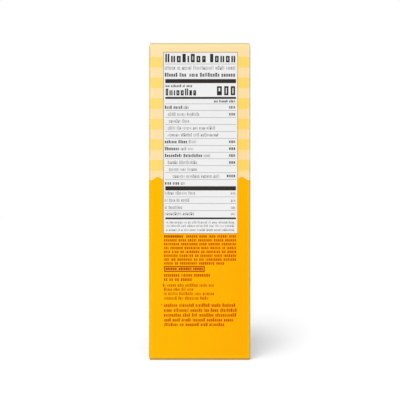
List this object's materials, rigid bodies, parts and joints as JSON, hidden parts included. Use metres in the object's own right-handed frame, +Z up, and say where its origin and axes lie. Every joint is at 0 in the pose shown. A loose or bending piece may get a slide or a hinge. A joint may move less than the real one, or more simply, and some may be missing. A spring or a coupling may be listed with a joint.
{
  "type": "graham cracker carton",
  "caption": "Shut, upright paperboard carton for graham crackers, with rounded folds, lapped closing flaps at both ends and a glued corner.",
  "frame": {"origin": "middle of the carton's base, on the surface it stands on", "axes": "+Z up along the height, the narrow side panel that the picture shows faces -Y, the wide front panel faces -X and the wide back panel faces +X"},
  "size_m": [0.065, 0.135, 0.2033],
  "materials": {
    "printed_board": "orange print with a satin varnish on clay-coated paperboard"
  },
  "bodies": {
    "root": {"carton": "printed_board"}
  },
  "joints": []
}
